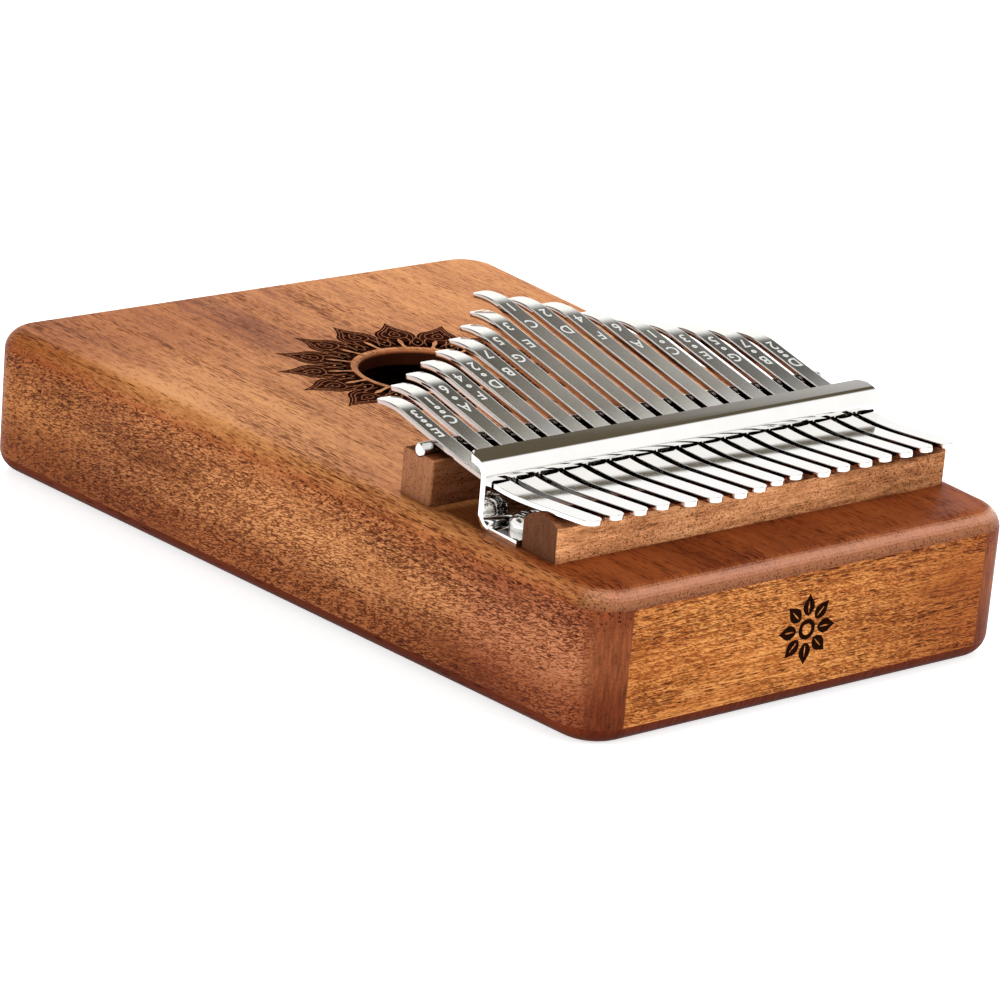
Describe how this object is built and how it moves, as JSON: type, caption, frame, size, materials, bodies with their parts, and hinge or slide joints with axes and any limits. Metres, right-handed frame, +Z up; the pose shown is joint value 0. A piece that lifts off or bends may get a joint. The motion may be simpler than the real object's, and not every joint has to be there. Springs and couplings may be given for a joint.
{
  "type": "box mbira",
  "caption": "Hollow tapered wooden sound box with a round sound hole and a row of steel tines clamped over two bridges by a bent steel bracket.",
  "frame": {"origin": "centre of the flat underside of the sound box", "axes": "+X to the player's right, +Y from the player towards the head end with the bridges, +Z up out of the soundboard"},
  "size_m": [0.1304, 0.185, 0.0526],
  "materials": {
    "wood_top": "satin oiled mahogany, grain along the length",
    "wood_side": "satin oiled mahogany, dark open pores",
    "wood_back": "satin oiled mahogany",
    "wood_end_panel": "satin golden mahogany, grain across the width",
    "wood_inside": "unfinished",
    "wood_bridge": "sanded, matt",
    "polished_steel": "polished",
    "tine_steel": "satin faces with bright rolled edges"
  },
  "bodies": {
    "sound_box": {"soundboard": "wood_top", "back_board": "wood_back", "side_wall_right": "wood_side", "side_wall_left": "wood_side", "head_wall": "wood_end_panel", "tail_wall": "wood_end_panel", "cross_brace": "wood_inside", "saddle_block": "wood_bridge", "saddle_rod": "polished_steel", "rear_bridge": "wood_bridge", "pressure_bracket": "polished_steel", "bracket_screws": "polished_steel"},
    "tine_01": {"tine_01": "tine_steel"},
    "tine_02": {"tine_02": "tine_steel"},
    "tine_03": {"tine_03": "tine_steel"},
    "tine_04": {"tine_04": "tine_steel"},
    "tine_05": {"tine_05": "tine_steel"},
    "tine_06": {"tine_06": "tine_steel"},
    "tine_07": {"tine_07": "tine_steel"},
    "tine_08": {"tine_08": "tine_steel"},
    "tine_09": {"tine_09": "tine_steel"},
    "tine_10": {"tine_10": "tine_steel"},
    "tine_11": {"tine_11": "tine_steel"},
    "tine_12": {"tine_12": "tine_steel"},
    "tine_13": {"tine_13": "tine_steel"},
    "tine_14": {"tine_14": "tine_steel"},
    "tine_15": {"tine_15": "tine_steel"},
    "tine_16": {"tine_16": "tine_steel"},
    "tine_17": {"tine_17": "tine_steel"}
  },
  "joints": [
    {"name": "tine_01_flex", "type": "hinge", "parent": "sound_box", "child": "tine_01", "pos_m": [0.04712, 0.035, 0.04085], "axis": [1, 0, 0], "range_deg": [0, 2], "stiffness_Nm_per_rad": 0.457},
    {"name": "tine_02_flex", "type": "hinge", "parent": "sound_box", "child": "tine_02", "pos_m": [0.04123, 0.035, 0.04085], "axis": [1, 0, 0], "range_deg": [0, 2], "stiffness_Nm_per_rad": 0.419},
    {"name": "tine_03_flex", "type": "hinge", "parent": "sound_box", "child": "tine_03", "pos_m": [0.03534, 0.035, 0.04085], "axis": [1, 0, 0], "range_deg": [0, 2], "stiffness_Nm_per_rad": 0.394},
    {"name": "tine_04_flex", "type": "hinge", "parent": "sound_box", "child": "tine_04", "pos_m": [0.02945, 0.035, 0.04085], "axis": [1, 0, 0], "range_deg": [0, 2], "stiffness_Nm_per_rad": 0.371},
    {"name": "tine_05_flex", "type": "hinge", "parent": "sound_box", "child": "tine_05", "pos_m": [0.02356, 0.035, 0.04085], "axis": [1, 0, 0], "range_deg": [0, 2], "stiffness_Nm_per_rad": 0.354},
    {"name": "tine_06_flex", "type": "hinge", "parent": "sound_box", "child": "tine_06", "pos_m": [0.01767, 0.035, 0.04085], "axis": [1, 0, 0], "range_deg": [0, 2], "stiffness_Nm_per_rad": 0.336},
    {"name": "tine_07_flex", "type": "hinge", "parent": "sound_box", "child": "tine_07", "pos_m": [0.01178, 0.035, 0.04085], "axis": [1, 0, 0], "range_deg": [0, 2], "stiffness_Nm_per_rad": 0.318},
    {"name": "tine_08_flex", "type": "hinge", "parent": "sound_box", "child": "tine_08", "pos_m": [0.00589, 0.035, 0.04085], "axis": [1, 0, 0], "range_deg": [0, 2], "stiffness_Nm_per_rad": 0.301},
    {"name": "tine_09_flex", "type": "hinge", "parent": "sound_box", "child": "tine_09", "pos_m": [0, 0.035, 0.04085], "axis": [1, 0, 0], "range_deg": [0, 2], "stiffness_Nm_per_rad": 0.28},
    {"name": "tine_10_flex", "type": "hinge", "parent": "sound_box", "child": "tine_10", "pos_m": [-0.00589, 0.035, 0.04085], "axis": [1, 0, 0], "range_deg": [0, 2], "stiffness_Nm_per_rad": 0.292},
    {"name": "tine_11_flex", "type": "hinge", "parent": "sound_box", "child": "tine_11", "pos_m": [-0.01178, 0.035, 0.04085], "axis": [1, 0, 0], "range_deg": [0, 2], "stiffness_Nm_per_rad": 0.306},
    {"name": "tine_12_flex", "type": "hinge", "parent": "sound_box", "child": "tine_12", "pos_m": [-0.01767, 0.035, 0.04085], "axis": [1, 0, 0], "range_deg": [0, 2], "stiffness_Nm_per_rad": 0.328},
    {"name": "tine_13_flex", "type": "hinge", "parent": "sound_box", "child": "tine_13", "pos_m": [-0.02356, 0.035, 0.04085], "axis": [1, 0, 0], "range_deg": [0, 2], "stiffness_Nm_per_rad": 0.349},
    {"name": "tine_14_flex", "type": "hinge", "parent": "sound_box", "child": "tine_14", "pos_m": [-0.02945, 0.035, 0.04085], "axis": [1, 0, 0], "range_deg": [0, 2], "stiffness_Nm_per_rad": 0.37},
    {"name": "tine_15_flex", "type": "hinge", "parent": "sound_box", "child": "tine_15", "pos_m": [-0.03534, 0.035, 0.04085], "axis": [1, 0, 0], "range_deg": [0, 2], "stiffness_Nm_per_rad": 0.388},
    {"name": "tine_16_flex", "type": "hinge", "parent": "sound_box", "child": "tine_16", "pos_m": [-0.04123, 0.035, 0.04085], "axis": [1, 0, 0], "range_deg": [0, 2], "stiffness_Nm_per_rad": 0.41},
    {"name": "tine_17_flex", "type": "hinge", "parent": "sound_box", "child": "tine_17", "pos_m": [-0.04712, 0.035, 0.04085], "axis": [1, 0, 0], "range_deg": [0, 2], "stiffness_Nm_per_rad": 0.435}
  ]
}
